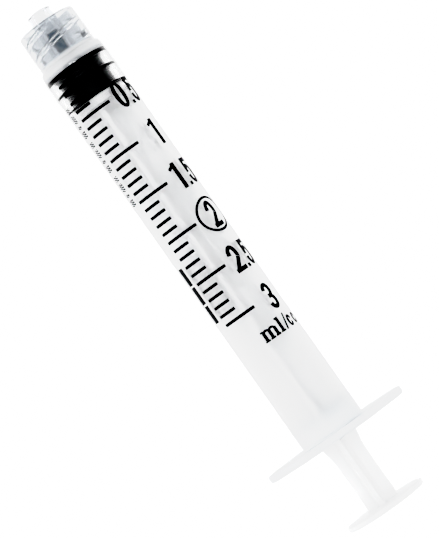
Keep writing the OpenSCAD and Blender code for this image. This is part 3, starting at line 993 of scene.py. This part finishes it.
# %% [markdown]
# ## Floor, light and camera
# Clear plastic shows its surroundings more than itself, so the room matters as much as the
# material. The pale floor glows a little, like a light table, so no shadow forms and the tube is
# lit from below. The room is bright near the horizon and dark overhead and towards the ends, which
# keeps the black gasket black. Two soft boxes stand low at the sides. A wide lamp overhead lights
# the white pieces but has no mirror image, or it would lay a grey veil over the gasket.
# %% Lay the floor
floor_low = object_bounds()[0].z
mesh = bpy.data.meshes.new("floor")
reach_out = 1.5
corners = ((-1, -1), (1, -1), (1, 1), (-1, 1))
spots = [(x * reach_out, y * reach_out, floor_low) for x, y in corners]
mesh.from_pydata(spots, [], [(0, 1, 2, 3)])
floor = bpy.data.objects.new("floor", mesh)
bpy.context.scene.collection.objects.link(floor)
paper, start = material("floor_paper")
fibre = grain(start, 300, 4)
tone = start.node(
    "ShaderNodeValToRGB",
    {"stops": [(0.3, (0.44, 0.44, 0.44, 1)), (0.7, (0.46, 0.46, 0.46, 1))]},
    Fac=fibre,
)
body = start.node(
    "ShaderNodeBsdfPrincipled",
    Base_Color=tone,
    Roughness=0.8,
    Emission_Color=(1, 1, 1, 1),
    Emission_Strength=1.2,
)
finish_material(start, body)
floor.data.materials.append(paper)
print("floor at", round(floor_low, 5))

# %% Light the room
room = bpy.data.worlds.new("room")
room.use_nodes = True
room.node_tree.nodes.clear()
start = Flow(room.node_tree, None)
way = start.node("ShaderNodeTexCoord").out("Generated")
toward_ends = start.node("ShaderNodeSeparateXYZ", Vector=way).out("X")
glow = start.node(
    "ShaderNodeValToRGB",
    {
        "stops": [
            (0.0, (1.0, 1.0, 1.0, 1)),
            (0.3, (0.95, 0.955, 0.96, 1)),
            (0.6, (0.2, 0.2, 0.2, 1)),
            (0.9, (0.1, 0.1, 0.1, 1)),
        ]
    },
    Fac=toward_ends.out("Z"),
)
sky = start.node(
    "ShaderNodeBackground", Color=glow, Strength=1.1 - 0.8 * (toward_ends * toward_ends)
)
start.node("ShaderNodeOutputWorld", Surface=sky)
bpy.context.scene.world = room


def soft_box(name, place, size, watts, gloss=True):
    """A soft area light at a place, in metres, that looks at the middle of the syringe. Without
    gloss it lights the pieces but never mirrors in them, as a polarised light does."""
    lamp = bpy.data.lights.new(name, "AREA")
    lamp.shape = "RECTANGLE"
    lamp.size, lamp.size_y = size
    lamp.energy = watts
    made = bpy.data.objects.new(name, lamp)
    made.location = place
    toward = Vector((0, 0, axis_z)) - made.location
    made.rotation_euler = toward.to_track_quat("-Z", "Y").to_euler()
    made.visible_glossy = gloss
    bpy.context.scene.collection.objects.link(made)
    print(name, watts, "W")


soft_box("window_side", (0.0, 1.2, 0.48), (0.6, 0.95), 4.5)
soft_box("far_side", (0.0, -1.2, 0.3), (0.6, 0.4), 1.2)
soft_box("overhead", (0.0, 0.0, 1.2), (1.4, 1.4), 20, gloss=False)

# %% [markdown]
# ## Camera and film
# The camera looks almost straight down from 39 cm. White plastic on a white floor has all its
# shading in the last tenth of the brightness, which a plain display would clip. A curve takes the
# place of a film: it follows the light up to three quarters, then flattens, so the pieces stay just
# darker than the floor. Its foot cuts off the faint veil that gloss leaves on black.
# %% Place the camera
eye = Vector((-0.0142, 0.0, 0.397))
aim = Vector((-0.0019, -0.0001, axis_z))
picture_up = Vector((0.8171, -0.5764, 0))
forward = (aim - eye).normalized()
right = forward.cross(picture_up).normalized()
up = right.cross(forward)
lens = bpy.data.cameras.new("camera")
lens.lens = 168.0
lens.sensor_width = 36
lens.clip_start, lens.clip_end = 0.01, 20
camera = bpy.data.objects.new("camera", lens)
turn_in = Matrix((right, up, -forward)).transposed().to_4x4()
camera.matrix_world = Matrix.Translation(eye) @ turn_in
bpy.context.scene.collection.objects.link(camera)
bpy.context.scene.camera = camera
print("camera", round(eye.z, 3), "m above the floor")

# %% Shape the tones
BRIGHTEST = 2.0
SHOWN = (
    (0.05, 0.0),
    (0.2, 0.17),
    (0.5, 0.52),
    (0.76, 0.785),
    (0.87, 0.845),
    (1.15, 0.885),
    (1.35, 0.925),
    (1.6, 1.0),
)
view_settings = bpy.context.scene.view_settings
view_settings.view_transform = "Standard"
view_settings.use_curve_mapping = True
tone_curve = view_settings.curve_mapping
tone_curve.white_level = (BRIGHTEST,) * 3
tones = tone_curve.curves[3]
for light, shown in SHOWN:
    tones.points.new(light / BRIGHTEST, shown)
for point in tones.points:
    point.handle_type = "AUTO_CLAMPED"
tone_curve.update()
print("light from", SHOWN[0][0], "to", SHOWN[-1][0], "is spread from black to white")
